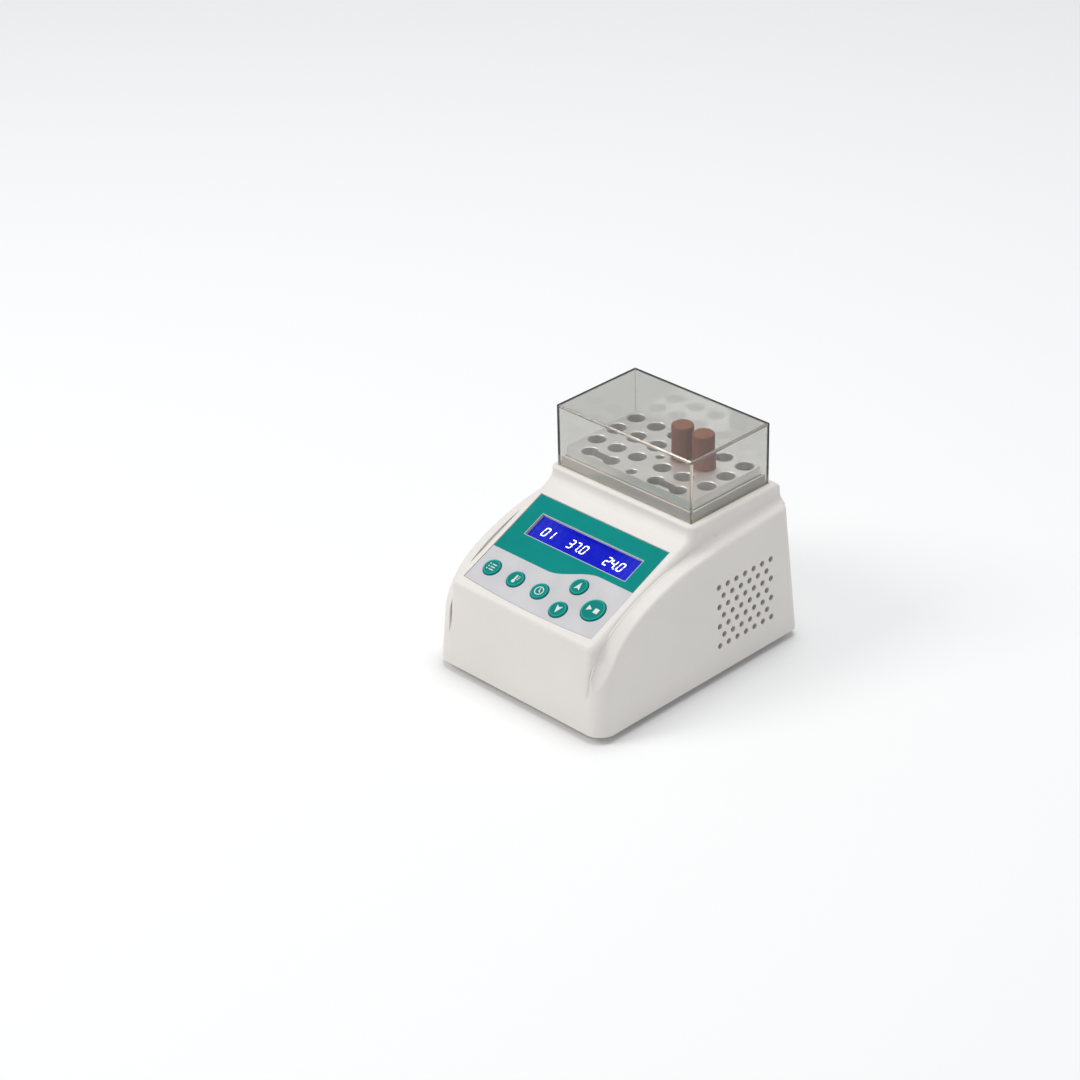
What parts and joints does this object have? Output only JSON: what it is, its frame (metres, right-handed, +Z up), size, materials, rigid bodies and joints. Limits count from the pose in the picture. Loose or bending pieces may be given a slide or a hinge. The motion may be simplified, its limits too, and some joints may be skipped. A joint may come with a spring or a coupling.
{
  "type": "dry block heater",
  "caption": "Bench dry block heater with a sloped control panel, a blue display, round push buttons, an aluminium block with vial wells and a clear lift-off lid.",
  "frame": {"origin": "middle of the footprint, on the surface that the rubber feet stand on", "axes": "+Z up, -Y towards the user, where the control panel faces, +X to the user's right"},
  "size_m": [0.11, 0.1385, 0.1146],
  "materials": {
    "housing": "fine-textured moulded off-white plastic",
    "feet": "matt",
    "steel": "zinc plated",
    "sheet_steel": "rolled sheet",
    "label": "satin printed film, teal over grey",
    "button": "satin",
    "window": "clear",
    "display": "emissive blue liquid-crystal glass",
    "white_plastic": "semi-gloss",
    "black_plastic": "satin",
    "green_plastic": "satin",
    "board": "solder mask",
    "ferrite": "matt",
    "black_aluminium": "black anodised",
    "block": "bead-blasted, clear anodised",
    "aluminium": "milled",
    "silicone": "matt",
    "foam": "felted ceramic fibre",
    "brass": "satin",
    "lid": "clear moulded polycarbonate with a slight grey tint",
    "vial": "clear",
    "cap": "moulded red-brown",
    "lead": "satin"
  },
  "bodies": {
    "housing": {"upper_housing": "housing", "base_plate": "housing", "rubber_feet": "feet", "base_screws": "steel", "panel_label": "label", "display_window": "window", "display_frame": "steel", "display_glass": "display", "display_backlight": "white_plastic", "control_board": "board", "control_board_screws": "steel", "control_chips": "black_plastic", "buzzer": "black_plastic", "tact_switches": "black_plastic", "board_headers": "white_plastic", "power_board": "board", "power_board_screws": "steel", "capacitors": "black_plastic", "choke": "ferrite", "heat_sink": "black_aluminium", "power_transistor": "black_plastic", "terminal_blocks": "green_plastic", "heater_plate": "aluminium", "heater_mat": "silicone", "insulation_jacket": "foam", "thermal_fuse": "brass", "temperature_sensor": "steel", "carrier_tray": "sheet_steel", "carrier_screws": "steel", "switch_body": "black_plastic", "switch_terminals": "brass", "inlet_jack": "black_plastic", "inlet_pin": "brass", "inlet_nut": "steel", "heater_leads": "silicone", "sensor_lead": "silicone", "inlet_leads": "lead", "switch_leads": "lead", "ribbon_cable": "lead"},
    "lid": {"lid": "lid"},
    "block": {"heating_block": "block"},
    "vial_a": {"vial_tube_a": "vial", "vial_cap_a": "cap"},
    "vial_b": {"vial_tube_b": "vial", "vial_cap_b": "cap"},
    "rocker": {"switch_rocker": "black_plastic"},
    "button_program": {"button_program": "button", "plunger_program": "black_plastic"},
    "button_temperature": {"button_temperature": "button", "plunger_temperature": "black_plastic"},
    "button_time": {"button_time": "button", "plunger_time": "black_plastic"},
    "button_up": {"button_up": "button", "plunger_up": "black_plastic"},
    "button_down": {"button_down": "button", "plunger_down": "black_plastic"},
    "button_start_stop": {"button_start_stop": "button", "plunger_start_stop": "black_plastic"}
  },
  "joints": [
    {"name": "lid_lift", "type": "slide", "parent": "housing", "child": "lid", "axis": [0, 0, 1], "range_m": [0, 0.08]},
    {"name": "block_lift", "type": "slide", "parent": "housing", "child": "block", "axis": [0, 0, 1], "range_m": [0, 0.0025]},
    {"name": "vial_a_lift", "type": "slide", "parent": "block", "child": "vial_a", "axis": [0, 0, 1], "range_m": [0, 0.0025]},
    {"name": "vial_b_lift", "type": "slide", "parent": "block", "child": "vial_b", "axis": [0, 0, 1], "range_m": [0, 0.0025]},
    {"name": "power_rocker", "type": "hinge", "parent": "housing", "child": "rocker", "pos_m": [0.028, 0.06551, 0.03191], "axis": [1, 0, 0], "range_deg": [0, 16]},
    {"name": "press_program", "type": "slide", "parent": "housing", "child": "button_program", "axis": [0, 0.4035, -0.915], "range_m": [0, 0.0004], "stiffness_N_per_m": 400},
    {"name": "press_temperature", "type": "slide", "parent": "housing", "child": "button_temperature", "axis": [0, 0.4035, -0.915], "range_m": [0, 0.0004], "stiffness_N_per_m": 400},
    {"name": "press_time", "type": "slide", "parent": "housing", "child": "button_time", "axis": [0, 0.4035, -0.915], "range_m": [0, 0.0004], "stiffness_N_per_m": 400},
    {"name": "press_up", "type": "slide", "parent": "housing", "child": "button_up", "axis": [0, 0.4035, -0.915], "range_m": [0, 0.0004], "stiffness_N_per_m": 400},
    {"name": "press_down", "type": "slide", "parent": "housing", "child": "button_down", "axis": [0, 0.4035, -0.915], "range_m": [0, 0.0004], "stiffness_N_per_m": 400},
    {"name": "press_start_stop", "type": "slide", "parent": "housing", "child": "button_start_stop", "axis": [0, 0.4035, -0.915], "range_m": [0, 0.0004], "stiffness_N_per_m": 400}
  ]
}
